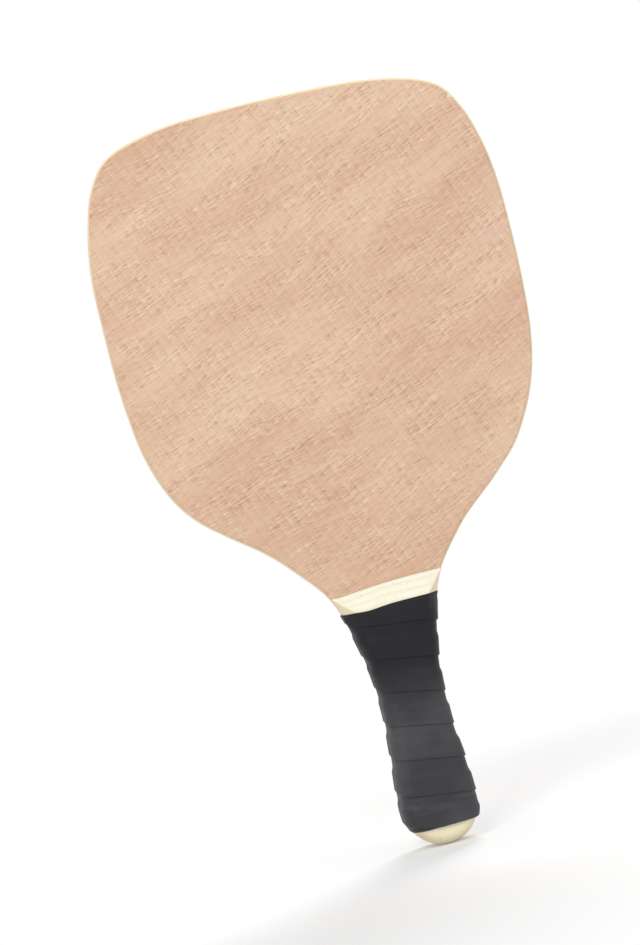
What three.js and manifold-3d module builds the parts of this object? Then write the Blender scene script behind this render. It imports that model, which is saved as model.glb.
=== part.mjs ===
// A frescobol racket: a plywood blade whose tang runs down between two wooden handle scales,
// wound from the butt upwards with one black grip tape.
// Sizes are in millimetres. Everything is drawn lying flat, with x across the blade, y from the butt to the tip
// and z towards the front face. The last lines stand it up, so that the tip points to +Z and the front to -Y.
import * as THREE from 'three';
import * as BufferGeometryUtils from 'three/addons/utils/BufferGeometryUtils.js';
import Module from 'manifold-3d';

const wasm = await Module();
wasm.setup();

// The racket as a whole
const racketLength = 450;
const bladeWidth = 250;

// The plies, glued face to face
const coreThickness = 2.4;
const crossBandThickness = 1.7;
const faceVeneerThickness = 0.5;
const glueLine = 0.1;

// The chamfer round the blade's edge, which bares the pale plies
const edgeChamferWidth = 1.2;
const edgeChamferDepth = 1.6;

// The handle's outline, from the butt up to the neck, where the scales end
const buttRadius = 21.7;
const waistHeight = 82;
const waistHalfWidth = 18.4;
const neckHeight = 157;
const neckHalfWidth = 34.5;
const neckFlareShare = 0.65;
const bareNeckLength = 13;
const gripTopHalfWidth = 28.7;
const gripTopFlareShare = 0.4;

// The scales, with rounded outer edges and a ramp that comes down to the blade
const handleThickness = 26.8;
const handleRimWidth = 6.5;
const handleRimDepthShare = 0.93;
const rampTopMargin = 0.5;
const scaleLipThickness = 1;

// The grip tape
const gripBottomHeight = 10;
const tapeWidth = 25;
const tapePitch = 20.4;
const tapeThickness = 0.8;
const tapeClearance = 0.3;
const tapeLapGap = 0.5;
const tapeLapMargin = 0.6;
const tapeRampWidth = 3.4;
const tapeEndWidth = 3;
const tapeStationGap = 0.12;
const tapeGapSpacing = 0.5;
const tapeLiftStartShare = 0.8;
const tapeLiftEndShare = 0.93;

// The blade's right edge from the tip down to the neck: shares of half the blade's width and of the
// blade's free length, and the edge's heading in degrees, where 0 runs outwards and 90 runs down.
const bladeEdgeShares = [
  [0, 1, 0],
  [0.4, 0.996, 3],
  [0.68, 0.976, 16],
  [0.832, 0.945, 43],
  [0.9, 0.898, 66],
  [0.944, 0.829, 78],
  [1, 0.601, 90],
  [0.956, 0.396, 99],
  [0.864, 0.268, 117],
  [0.72, 0.183, 138],
  [0.61, 0.143, 144],
  [0.416, 0.075, 133],
];

// How finely the curves are cut into facets
const stepsPerBladeSpan = 5;
const stepsPerHandleSpan = 8;
const buttSteps = 9;
const stepsPerCorner = 5;
const wideTapeStations = 4;

const gripTopHeight = neckHeight - bareNeckLength;
const bladeThickness = coreThickness + 2 * (crossBandThickness + faceVeneerThickness + 2 * glueLine);
const scaleThickness = (handleThickness - bladeThickness) / 2;
const handleRimDepth = handleRimDepthShare * scaleThickness;
const handleFlatDepth = handleThickness / 2 - handleRimDepth;

// Half the handle's width at a height above the butt: a round butt, then smooth spans between named widths.
function handleHalfWidth(height) {
  if (height < buttRadius) {
    return Math.sqrt(buttRadius ** 2 - (buttRadius - height) ** 2);
  }
  const spans = handleSpans();
  const span = spans.find((s) => height <= s.end.height) ?? spans[spans.length - 1];
  return smoothWidth(span.start, span.end, height);
}

function handleSpans() {
  const bulge = { height: buttRadius, width: buttRadius, flare: 0 };
  const waist = { height: waistHeight, width: waistHalfWidth, flare: 0 };
  const gripTop = { height: gripTopHeight, width: gripTopHalfWidth, flare: gripTopFlareShare };
  const neck = { height: neckHeight, width: neckHalfWidth, flare: neckFlareShare };
  return [
    { start: bulge, end: waist },
    { start: waist, end: gripTop },
    { start: gripTop, end: neck },
  ];
}

// The cubic through two widths that has the named flare at each of them.
function smoothWidth(start, end, height) {
  const rise = end.height - start.height;
  const t = (height - start.height) / rise;
  const blend = t * t * (3 - 2 * t);
  const startPull = t * (1 - t) ** 2 * rise * start.flare;
  const endPull = t * t * (t - 1) * rise * end.flare;
  return start.width * (1 - blend) + end.width * blend + startPull + endPull;
}

// The right edge of the handle, from the butt's centre up to the neck.
function handleEdge() {
  const points = [];
  for (let i = 0; i <= buttSteps; i++) {
    const angle = (Math.PI / 2) * (i / buttSteps);
    points.push(new THREE.Vector2(buttRadius * Math.sin(angle), buttRadius * (1 - Math.cos(angle))));
  }
  for (const { start, end } of handleSpans()) {
    for (let i = 1; i <= stepsPerHandleSpan; i++) {
      const height = THREE.MathUtils.lerp(start.height, end.height, i / stepsPerHandleSpan);
      points.push(new THREE.Vector2(handleHalfWidth(height), height));
    }
  }
  return points;
}

// The right edge of the blade, from just above the neck to the tip.
function bladeEdge() {
  const keys = bladeEdgeShares.map(([widthShare, heightShare, heading]) => ({
    point: new THREE.Vector2(
      (widthShare * bladeWidth) / 2,
      THREE.MathUtils.lerp(neckHeight, racketLength, heightShare),
    ),
    heading: THREE.MathUtils.degToRad(heading),
  }));
  keys.push({
    point: new THREE.Vector2(neckHalfWidth, neckHeight),
    heading: Math.PI / 2 + Math.atan(neckFlareShare),
  });
  const points = [];
  for (let i = keys.length - 1; i > 0; i--) {
    points.push(...arcLikeSpan(keys[i - 1], keys[i]).getPoints(stepsPerBladeSpan).reverse().slice(1));
  }
  return points;
}

// A cubic from one key to the next, with the handle lengths that make it an arc where the headings allow one.
function arcLikeSpan(from, to) {
  const turn = to.heading - from.heading;
  const reach = from.point.distanceTo(to.point) / (3 * Math.cos(turn / 4) ** 2);
  const ahead = new THREE.Vector2(Math.cos(from.heading), -Math.sin(from.heading)).multiplyScalar(reach);
  const behind = new THREE.Vector2(Math.cos(to.heading), -Math.sin(to.heading)).multiplyScalar(reach);
  return new THREE.CubicBezierCurve(
    from.point,
    from.point.clone().add(ahead),
    to.point.clone().sub(behind),
    to.point,
  );
}

// The racket's outline: its right edge, from the butt's centre to the tip's, and the left edge that mirrors it.
function racketShape() {
  const right = [...handleEdge(), ...bladeEdge()];
  const left = right.slice(1, -1).reverse();
  return new THREE.Shape([...right, ...left.map((point) => new THREE.Vector2(-point.x, point.y))]);
}

// A slab of the racket's outline, centred on z = 0, whose two rims are cut back by a chamfer or a rounding.
function slab(thickness, rimWidth, rimDepth, rimSteps) {
  const geometry = new THREE.ExtrudeGeometry(racketShape(), {
    depth: thickness - 2 * rimDepth,
    bevelEnabled: rimSteps > 0,
    bevelSize: rimWidth,
    bevelThickness: rimDepth,
    bevelOffset: -rimWidth,
    bevelSegments: rimSteps,
    steps: 1,
  });
  geometry.translate(0, 0, rimDepth - thickness / 2);
  return toSolid(geometry);
}

function toSolid(geometry) {
  geometry.deleteAttribute('normal');
  geometry.deleteAttribute('uv');
  const merged = BufferGeometryUtils.mergeVertices(geometry);
  return new wasm.Manifold(new wasm.Mesh({
    numProp: 3,
    vertProperties: new Float32Array(merged.attributes.position.array),
    triVerts: new Uint32Array(merged.index.array),
  }));
}

function toGeometry(solid) {
  const mesh = solid.getMesh();
  const geometry = new THREE.BufferGeometry();
  geometry.setAttribute('position', new THREE.BufferAttribute(new Float32Array(mesh.vertProperties), 3));
  geometry.setIndex(new THREE.BufferAttribute(new Uint32Array(mesh.triVerts), 1));
  return geometry;
}

// The part of a solid between two levels of z.
function layer(solid, low, high) {
  return solid.trimByPlane([0, 0, 1], low).trimByPlane([0, 0, -1], -high);
}

// The pressed plywood: a blade with a chamfered edge, and a tang whose edge stays square.
function plywoodBlank() {
  const chamfered = slab(bladeThickness, edgeChamferWidth, edgeChamferDepth, 1);
  const tang = slab(bladeThickness, 0, 0, 0).trimByPlane([0, -1, 0], -neckHeight);
  return chamfered.add(tang);
}

function corePly(blank) {
  return toGeometry(layer(blank, -coreThickness / 2, coreThickness / 2));
}

function crossBand(blank) {
  const low = coreThickness / 2 + glueLine;
  return toGeometry(layer(blank, low, low + crossBandThickness));
}

// The face veneer is sunk by one glue line under the scale, so that the scale's flat side lies level with it.
function faceVeneer(blank) {
  const face = bladeThickness / 2;
  const sheet = layer(blank, face - faceVeneerThickness, face);
  const blade = sheet.trimByPlane([0, 1, 0], neckHeight + glueLine);
  const glueBed = layer(sheet, face - faceVeneerThickness, face - glueLine);
  return toGeometry(blade.add(glueBed));
}

// One scale: a slice of a thick racket with rounded rims, cut square at the neck and then down a ramp.
function handleScale() {
  const rounded = slab(handleThickness, handleRimWidth, handleRimDepth, stepsPerCorner);
  const rampTop = new THREE.Vector2(gripTopHeight + rampTopMargin, handleThickness / 2);
  const rampLength = neckHeight - rampTop.x;
  const rampNormal = new THREE.Vector2(scaleThickness - scaleLipThickness, rampLength).normalize();
  const rampReach = rampNormal.dot(rampTop);
  return toGeometry(
    rounded
      .trimByPlane([0, 0, 1], bladeThickness / 2)
      .trimByPlane([0, -1, 0], -neckHeight)
      .trimByPlane([0, -rampNormal.x, -rampNormal.y], -rampReach),
  );
}

// Half the width, at a height, of the handle's outline moved outwards by an offset.
function offsetHalfWidth(height, offset) {
  if (height < buttRadius) {
    return Math.sqrt((buttRadius + offset) ** 2 - (buttRadius - height) ** 2);
  }
  const slope = (handleHalfWidth(height + glueLine) - handleHalfWidth(height)) / glueLine;
  return handleHalfWidth(height) + offset * Math.hypot(1, slope);
}

// The stops round the handle, from its right front corner to the front, left, rear and right again.
// Each one has its side, its face, its angle round the corner and its share of a turn.
function turnStops() {
  const cornerStep = ((handleRimWidth + handleRimDepth) * Math.PI) / 4 / stepsPerCorner;
  const faceLength = 2 * (waistHalfWidth - handleRimWidth);
  const sideLength = 2 * handleFlatDepth;
  const corners = [[1, 1], [-1, 1], [-1, -1], [1, -1]];
  const stops = [];
  let travelled = 0;
  corners.forEach(([side, face], corner) => {
    for (let i = 0; i <= stepsPerCorner; i++) {
      const step = corner % 2 ? stepsPerCorner - i : i;
      stops.push({ side, face, angle: (Math.PI / 2) * (step / stepsPerCorner), travelled });
      travelled += i < stepsPerCorner ? cornerStep : 0;
    }
    travelled += corner % 2 ? sideLength : faceLength;
  });
  return stops.map((stop) => ({ ...stop, turnShare: stop.travelled / travelled }));
}

// A point at a height over one stop, at an offset from the wood's surface.
function pointOverStop(stop, height, offset) {
  const rimInset = (handleRimWidth + offset) * (1 - Math.cos(stop.angle));
  const halfWidth = offsetHalfWidth(height, offset - rimInset);
  const depth = handleFlatDepth + (handleRimDepth + offset) * Math.sin(stop.angle);
  return new THREE.Vector3(stop.side * halfWidth, height, stop.face * depth);
}

// Where the tape's long edges, the foot of its ramp and the stations between lie, from its lower edge up.
function tapeStations() {
  const rampFoot = tapeWidth - tapePitch + tapeLapMargin;
  const rampHead = rampFoot + tapeRampWidth;
  const stations = [0, rampFoot];
  for (let i = 0; i <= wideTapeStations; i++) {
    stations.push(THREE.MathUtils.lerp(rampHead, tapeWidth, i / wideTapeStations));
  }
  return stations;
}

// One section of the tape: its inner points from the lower edge up, then its outer points back down.
// Each turn's lower edge climbs over the turn below, except in the first turn, which has none below it.
function tapeSection(stop, turns) {
  const stations = tapeStations();
  const lowerEdge = gripBottomHeight + tapeEndWidth - tapeWidth + tapePitch * turns;
  const lift = THREE.MathUtils.smoothstep(turns, tapeLiftStartShare, tapeLiftEndShare);
  const inner = [];
  const outer = [];
  stations.forEach((station, i) => {
    const lowest = gripBottomHeight + i * tapeStationGap;
    const highest = gripTopHeight - (stations.length - 1 - i) * tapeStationGap;
    const height = THREE.MathUtils.clamp(lowerEdge + station, lowest, highest);
    const aboveFoot = (height - lowerEdge - stations[1]) / tapeRampWidth;
    const raised = lift * (1 - THREE.MathUtils.clamp(aboveFoot, 0, 1));
    const offset = tapeClearance + raised * (tapeThickness + tapeLapGap);
    inner.push(pointOverStop(stop, height, offset));
    outer.unshift(pointOverStop(stop, height, offset + tapeThickness));
  });
  return [...inner, ...outer];
}

// All sections, stop by stop, until only the end's width is left below the top of the grip.
function tapeSections(stops) {
  const firstStop = stepsPerCorner;
  const turnsInAll = (gripTopHeight - gripBottomHeight + tapeWidth - 2 * tapeEndWidth) / tapePitch;
  const sections = [];
  for (let i = firstStop; ; i++) {
    const stop = stops[i % stops.length];
    const turns = Math.floor(i / stops.length) + stop.turnShare - stops[firstStop].turnShare;
    if (turns > turnsInAll) {
      return sections;
    }
    sections.push(tapeSection(stop, turns));
  }
}

// Points along the rim of a section, close enough together to measure gaps with.
function rimPoints(section) {
  return section.flatMap((point, i) => {
    const next = section[(i + 1) % section.length];
    const count = Math.ceil(point.distanceTo(next) / tapeGapSpacing);
    return Array.from({ length: count }, (_, step) => point.clone().lerp(next, step / count));
  });
}

// The least distance between each section and the one a turn below it.
function leastTapeGap(sections, stepsPerTurn) {
  const rims = sections.map(rimPoints);
  let least = Infinity;
  for (let i = stepsPerTurn; i < rims.length; i++) {
    for (const point of rims[i]) {
      for (const other of rims[i - stepsPerTurn]) {
        least = Math.min(least, point.distanceTo(other));
      }
    }
  }
  return least;
}

// The tape: one unbroken strip through all its sections, closed at both ends.
function gripTape() {
  const stops = turnStops();
  const sections = tapeSections(stops);
  console.log(`least gap of the grip tape to itself: ${leastTapeGap(sections, stops.length).toFixed(2)} mm`);
  const around = sections[0].length;
  const quads = [];
  for (let i = 0; i < sections.length - 1; i++) {
    for (let j = 0; j < around; j++) {
      const next = (j + 1) % around;
      quads.push([i * around + j, (i + 1) * around + j, (i + 1) * around + next, i * around + next]);
    }
  }
  const last = (sections.length - 1) * around;
  for (let j = 0; j < around / 2 - 1; j++) {
    const opposite = around - 1 - j;
    quads.push([j, j + 1, opposite - 1, opposite]);
    quads.push([last + j, last + opposite, last + opposite - 1, last + j + 1]);
  }
  const geometry = new THREE.BufferGeometry().setFromPoints(sections.flat());
  geometry.setIndex(quads.flatMap(([a, b, c, d]) => [a, b, c, a, c, d]));
  return geometry;
}

function veneerMaterial() {
  return new THREE.MeshStandardMaterial({ color: 0xe0bca0, roughness: 0.6, metalness: 0 });
}

function crossBandMaterial() {
  return new THREE.MeshStandardMaterial({ color: 0xe2cfa6, roughness: 0.7, metalness: 0 });
}

function coreMaterial() {
  return new THREE.MeshStandardMaterial({ color: 0xefe2bd, roughness: 0.7, metalness: 0 });
}

function scaleMaterial() {
  return new THREE.MeshStandardMaterial({ color: 0xf5ecca, roughness: 0.65, metalness: 0 });
}

function tapeMaterial() {
  return new THREE.MeshStandardMaterial({ color: 0x2c2c2f, roughness: 0.55, metalness: 0 });
}

// A named sub-part. The rear ones are the front ones turned over about the racket's long axis.
function subPart(name, geometry, material, turnedOver = false) {
  geometry.computeVertexNormals();
  const mesh = new THREE.Mesh(geometry, material);
  mesh.name = name;
  mesh.rotation.y = turnedOver ? Math.PI : 0;
  return mesh;
}

function racket() {
  const blank = plywoodBlank();
  const veneer = faceVeneer(blank);
  const band = crossBand(blank);
  const scale = handleScale();
  const group = new THREE.Group();
  group.add(subPart('core_ply', corePly(blank), coreMaterial()));
  group.add(subPart('front_cross_band', band, crossBandMaterial()));
  group.add(subPart('rear_cross_band', band, crossBandMaterial(), true));
  group.add(subPart('front_face_veneer', veneer, veneerMaterial()));
  group.add(subPart('rear_face_veneer', veneer, veneerMaterial(), true));
  group.add(subPart('front_handle_scale', scale, scaleMaterial()));
  group.add(subPart('rear_handle_scale', scale, scaleMaterial(), true));
  group.add(subPart('grip_tape', gripTape(), tapeMaterial()));
  group.rotation.x = Math.PI / 2;
  return group;
}

const group = racket();
export default group;
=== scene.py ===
import math

import bmesh
import bpy
import numpy as np
from mathutils import Matrix, Vector


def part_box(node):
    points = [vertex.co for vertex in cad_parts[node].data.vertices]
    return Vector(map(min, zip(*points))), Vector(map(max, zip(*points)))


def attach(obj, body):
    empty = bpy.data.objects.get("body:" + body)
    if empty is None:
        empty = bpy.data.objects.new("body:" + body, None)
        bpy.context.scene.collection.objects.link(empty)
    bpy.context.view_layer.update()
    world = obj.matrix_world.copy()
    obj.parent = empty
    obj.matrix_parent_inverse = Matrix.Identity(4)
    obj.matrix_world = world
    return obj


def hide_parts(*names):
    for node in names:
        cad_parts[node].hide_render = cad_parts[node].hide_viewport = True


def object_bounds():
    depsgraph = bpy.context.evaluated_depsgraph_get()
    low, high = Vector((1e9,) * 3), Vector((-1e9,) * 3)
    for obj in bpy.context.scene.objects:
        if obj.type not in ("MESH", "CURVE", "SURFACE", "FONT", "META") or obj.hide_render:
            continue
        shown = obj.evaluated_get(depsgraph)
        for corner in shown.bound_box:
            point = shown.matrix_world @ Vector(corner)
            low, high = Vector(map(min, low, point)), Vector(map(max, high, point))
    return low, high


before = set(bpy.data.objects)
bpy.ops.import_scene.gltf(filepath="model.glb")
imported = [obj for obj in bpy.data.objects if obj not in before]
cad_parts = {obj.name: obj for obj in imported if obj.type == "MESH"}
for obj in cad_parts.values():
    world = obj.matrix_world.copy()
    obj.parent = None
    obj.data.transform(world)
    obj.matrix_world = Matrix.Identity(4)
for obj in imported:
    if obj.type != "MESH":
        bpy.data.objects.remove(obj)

cad_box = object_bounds()

MM = 0.001
TURN = 2 * math.pi
BODY = "root"

# The blade's sanded edge
CHAMFER_WIDTH = 1.2 * MM
CHAMFER_DEPTH = 1.6 * MM
CHAMFER_START = 150 * MM
CHAMFER_FULL = 166 * MM
CHAMFER_WANDER_SHARE = 0.14
CHAMFER_WANDER_LENGTH = 70 * MM
CHAMFER_WANDER_SEED = 3
KNEE_SOFTNESS = 0.3 * MM
ARRIS_RADIUS = 0.24 * MM
CAP_MARGIN = 0.5 * MM
GLUE_LINE = 0.1 * MM
PLY_GAP = 0.004 * MM
STEPS_PER_FACET = 8
LEAST_OUTLINE_STEP = 0.05 * MM
MERGE_DISTANCE = 0.001 * MM
SHARP_ANGLE = 38
CHAMFER_TOP_SHARE = 0.95
CHAMFER_RIGHT_SHARE = 0.35
NICK_PLACE = (108.6 * MM, 428.8 * MM)
NICK_REACH = 1.1 * MM
NICK_SHARE = 3.2

# How far the hand-cut handle and blade stand out from their drawn outline: the way along the edge from the
# butt's centre, then the right edge's and the left edge's distance outwards, all in millimetres
HAND_CUT = (
    (26, 0, 0),
    (36, -0.6, -0.6),
    (48, -0.2, -0.2),
    (62, -0.3, -0.3),
    (72, -0.65, -0.65),
    (118, -0.55, -0.55),
    (132, -0.1, -0.1),
    (144, -0.1, -0.1),
    (154, -0.4, -0.4),
    (164, 0, 0),
    (176, 0, 0),
    (192, 0.5, 1),
    (208, 0.1, 0.45),
    (224, 0.2, -0.7),
    (240, -1, -0.6),
    (256, -0.8, 0.4),
    (272, -1, 2.1),
    (288, -0.4, 2.2),
    (304, 0.4, 2.1),
    (320, 1.1, 2.2),
    (336, 1.25, 1.4),
    (352, 0.3, 0.9),
    (368, 0, 0.1),
    (384, -0.1, 0),
    (400, 0.4, 0.6),
    (416, 1.5, 1.7),
    (432, 2.2, 1.7),
    (448, 2.3, 1.3),
    (464, 0.9, 0.1),
    (480, 0.4, -1.1),
    (488, 0.4, -1.6),
    (496, 0.4, -0.8),
    (512, 0.65, -1.2),
    (528, 0, -0.7),
    (544, 0.1, -0.7),
    (560, 0.1, -0.4),
    (576, 0, -0.1),
    (592, 0, 0),
)
HAND_CUT_SOFTNESS = 10 * MM
HAND_CUT_SAMPLES = 9
TONE_TOP = 420 * MM

# The handle's section: a flat front and rear, flat sides, and quarter-round rims between them that turn into
# sanded facets towards the neck. The scale's end is a ramp with a thin lip.
RIM_WIDTH = 6.5 * MM
RIM_DEPTH_SHARE = 0.93
RIM_STEPS = 16
FACET_START = 128 * MM
FACET_FULL = 142 * MM
FACET_SHARE = 0.8
WAIST_HALF_WIDTH = 18.4 * MM
RAMP_TOP_MARGIN = 1.3 * MM
SCALE_LIP = 1 * MM
LIP_RADIUS = 0.45 * MM
# How far in from the lip its painted highlight reaches
LIP_HIGHLIGHT_REACH = 0.9 * MM
RAMP_SOFTNESS = 0.5 * MM

# The hand-sanded line where a scale ends: its slant, its middle's rise and its ends' fall
LIP_SLANT_SHARE = 0.037
LIP_RISE = 0.2 * MM
LIP_END_FALL = 0.8 * MM

# The grip tape, wound from the butt upwards. The photograph's laps are wider than those of the solid, whose
# width and pitch give the seams their places.
TAPE_WIDTH = 30 * MM
TAPE_SOLID_WIDTH = 25 * MM
TAPE_PITCH = 20.4 * MM
TAPE_THICKNESS = 0.8 * MM
TAPE_END_WIDTH = 3 * MM
TAPE_SEAT = 0.05 * MM
TAPE_LAP_GAP = 0.12 * MM
TAPE_LAP_MARGIN = 0.4 * MM
TAPE_RAMP_WIDTH = 4.5 * MM
TAPE_EDGE_RADIUS = 0.4 * MM
TAPE_LEAST_EDGE = 0.1 * MM
TAPE_LIFT_TURNS = (0.8, 0.93)
TAPE_EDGE_WANDER = 0.35 * MM
TAPE_CREASE = 0.16 * MM
TAPE_RIPPLE = 0.09 * MM
TAPE_SQUEEZE_SHARE = 0.02
TAPE_TOP_THINNING_SHARE = 0.6
TAPE_TOP_THINNING_WIDTH = 14 * MM

# The tape's top edge: its rise above the solids' and a sag left of the middle
TAPE_TOP_RISE = 1.25 * MM
TAPE_TOP_SAG = 1.2 * MM
TAPE_TOP_SAG_PLACE = -20 * MM
TAPE_TOP_SAG_REACH = 13 * MM

# The tape's bottom edge: its rise above the solids' and its slant across the handle
TAPE_BOTTOM_RISE = 1.55 * MM
TAPE_BOTTOM_SLANT_SHARE = 0.01


def smooth_step(value, low, high):
    """0 below low, 1 above high and a smooth rise between them."""
    share = np.clip((value - low) / (high - low), 0, 1)
    return share * share * (3 - 2 * share)


def soft_minimum(first, second, softness):
    """The smaller of two values, with a rounded change from one to the other."""
    share = np.clip(0.5 + 0.5 * (second - first) / softness, 0, 1)
    return second + (first - second) * share - softness * share * (1 - share)


# A ripple's waves: how many there are, and their least and greatest length as shares of its size
RIPPLE_WAVES = 14
RIPPLE_LENGTHS = (1.2, 3)


def ripple(points, size, seed):
    """Smooth random values of about -1 to 1 at points in metres, with bumps of that size."""
    random = np.random.default_rng(seed)
    total = np.zeros(points.shape[:-1])
    for _ in range(RIPPLE_WAVES):
        heading = random.normal(size=points.shape[-1])
        heading /= np.linalg.norm(heading)
        length = size * random.uniform(*RIPPLE_LENGTHS)
        total += np.sin(points @ heading * TURN / length + random.uniform(0, TURN))
    return total / math.sqrt(RIPPLE_WAVES)


def outline_from_frame():
    """The racket's outline as (across, up) points: from the butt's centre up the right edge, down the left."""
    corners = np.array([vertex.co[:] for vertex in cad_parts["core_ply"].data.vertices])
    right = corners[corners[:, 0] > -LEAST_OUTLINE_STEP][:, [0, 2]]
    right = right[np.argsort(right[:, 1])]
    kept = [right[0]]
    for point in right[1:]:
        if np.linalg.norm(point - kept[-1]) > LEAST_OUTLINE_STEP:
            kept.append(point)
    right = np.array(kept)
    left = right[1:-1][::-1] * (-1, 1)
    return np.concatenate([right, left])


def smooth_loop(points, steps):
    """A centripetal curve through a closed loop of points, with that many steps from each to the next."""
    before, after, beyond = (np.roll(points, shift, axis=0) for shift in (1, -1, -2))
    knots = [np.zeros((len(points), 1))]
    for start, end in ((before, points), (points, after), (after, beyond)):
        knots.append(knots[-1] + np.sqrt(np.linalg.norm(end - start, axis=1))[:, None])

    def between(low, high, first, second, at):
        return first * (high - at) / (high - low) + second * (at - low) / (high - low)

    t0, t1, t2, t3 = knots
    curve = []
    for step in range(steps):
        at = t1 + (t2 - t1) * step / steps
        first = between(t0, t1, before, points, at)
        middle = between(t1, t2, points, after, at)
        last = between(t2, t3, after, beyond, at)
        early = between(t0, t2, first, middle, at)
        late = between(t1, t3, middle, last, at)
        curve.append(between(t1, t2, early, late, at))
    return np.stack(curve, axis=1).reshape(-1, 2)


def outward(loop):
    """The unit normals of a closed loop of points that runs anticlockwise."""
    tangent = np.roll(loop, -1, axis=0) - np.roll(loop, 1, axis=0)
    tangent /= np.linalg.norm(tangent, axis=1)[:, None]
    return np.stack([tangent[:, 1], -tangent[:, 0]], axis=1)


def cut_by_hand(loop):
    """The drawn outline with the unevenness of a blade cut by hand."""
    way, right, left = np.array(HAND_CUT).T * MM
    steps = np.linalg.norm(np.roll(loop, -1, axis=0) - loop, axis=1)
    travelled = np.cumsum(steps) - steps
    from_butt = np.minimum(travelled, steps.sum() - travelled)
    moved = np.zeros(len(loop))
    spread = np.linspace(-1, 1, HAND_CUT_SAMPLES) * HAND_CUT_SOFTNESS
    for shift in spread:
        on_right = np.interp(from_butt + shift, way, right)
        on_left = np.interp(from_butt + shift, way, left)
        moved += np.where(travelled < steps.sum() / 2, on_right, on_left) / len(spread)
    return loop + outward(loop) * moved[:, None]


outline = cut_by_hand(smooth_loop(outline_from_frame(), STEPS_PER_FACET))
outline_normal = outward(outline)

# Sizes that the frame gives
face_depth = -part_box("front_face_veneer")[0][1]
handle_depth = -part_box("front_handle_scale")[0][1]
neck_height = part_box("front_handle_scale")[1][2]
tape_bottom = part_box("grip_tape")[0][2]
tape_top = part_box("grip_tape")[1][2]
rim_depth = RIM_DEPTH_SHARE * (handle_depth - face_depth)
flat_depth = handle_depth - rim_depth

# The handle's widths are kept in a table, by height and by how far the outline is moved outwards
TABLE_STEP = 0.25
OFFSETS = np.arange(-7, 3 + TABLE_STEP / 2, TABLE_STEP) * MM
HEIGHTS = np.arange(0, 165, TABLE_STEP) * MM

# How far short of a grid's count a place on it stays
GRID_END_MARGIN = 1.001


def offset_widths():
    """Half the handle's width, with a row for each offset and a column for each height."""
    right = outline[:len(outline) // 2]
    normal = outline_normal[:len(outline) // 2]
    rows = []
    for offset in OFFSETS:
        moved = right + normal * offset
        rows.append(np.interp(HEIGHTS, moved[:, 1], moved[:, 0], left=0))
    return np.array(rows)


width_table = offset_widths()


def grid_share(values, grid):
    """The index of the grid value below each value, and how far it is on the way to the next."""
    place = np.clip((values - grid[0]) / (grid[1] - grid[0]), 0, len(grid) - GRID_END_MARGIN)
    index = place.astype(int)
    return index, place - index


def half_width(height, offset):
    """Half the handle's width at heights, with its outline moved outwards by offsets."""
    height, offset = np.broadcast_arrays(height, offset)
    row, down = grid_share(offset, OFFSETS)
    column, across = grid_share(height, HEIGHTS)
    low = width_table[row, column] * (1 - across) + width_table[row, column + 1] * across
    high = width_table[row + 1, column] * (1 - across) + width_table[row + 1, column + 1] * across
    return low * (1 - down) + high * down


def piece(name, points, faces, material, node, sharp_angle=SHARP_ANGLE):
    """A closed mesh that stands for a CAD node and rides with its body."""
    mesh = bpy.data.meshes.new(name)
    mesh.from_pydata(points.tolist(), [], faces)
    shape = bmesh.new()
    shape.from_mesh(mesh)
    bmesh.ops.remove_doubles(shape, verts=shape.verts, dist=MERGE_DISTANCE)
    bmesh.ops.dissolve_degenerate(shape, edges=shape.edges, dist=MERGE_DISTANCE)
    bmesh.ops.recalc_face_normals(shape, faces=shape.faces)
    if shape.calc_volume(signed=True) < 0:
        bmesh.ops.reverse_faces(shape, faces=shape.faces)
    shape.to_mesh(mesh)
    shape.free()
    mesh.shade_smooth()
    mesh.set_sharp_from_angle(angle=math.radians(sharp_angle))
    mesh.materials.append(material)
    made = bpy.data.objects.new(name, mesh)
    bpy.context.scene.collection.objects.link(made)
    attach(made, BODY)
    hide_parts(node)


def ring_faces(rings, count):
    """Quads between neighbouring rings of that many points each."""
    faces = []
    for ring in range(rings - 1):
        for i in range(count):
            j = (i + 1) % count
            low, high = ring * count, (ring + 1) * count
            faces.append((low + i, low + j, high + j, high + i))
    return faces


# Where a dash's soft edge ends and its full core starts, as shares of its size
DASH_EDGE = 0.62
DASH_CORE = 0.2

# A Mix node's sockets for colours: its first and second input, and its result
MIX_FIRST = 6
MIX_SECOND = 7
MIX_RESULT = 2


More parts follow.
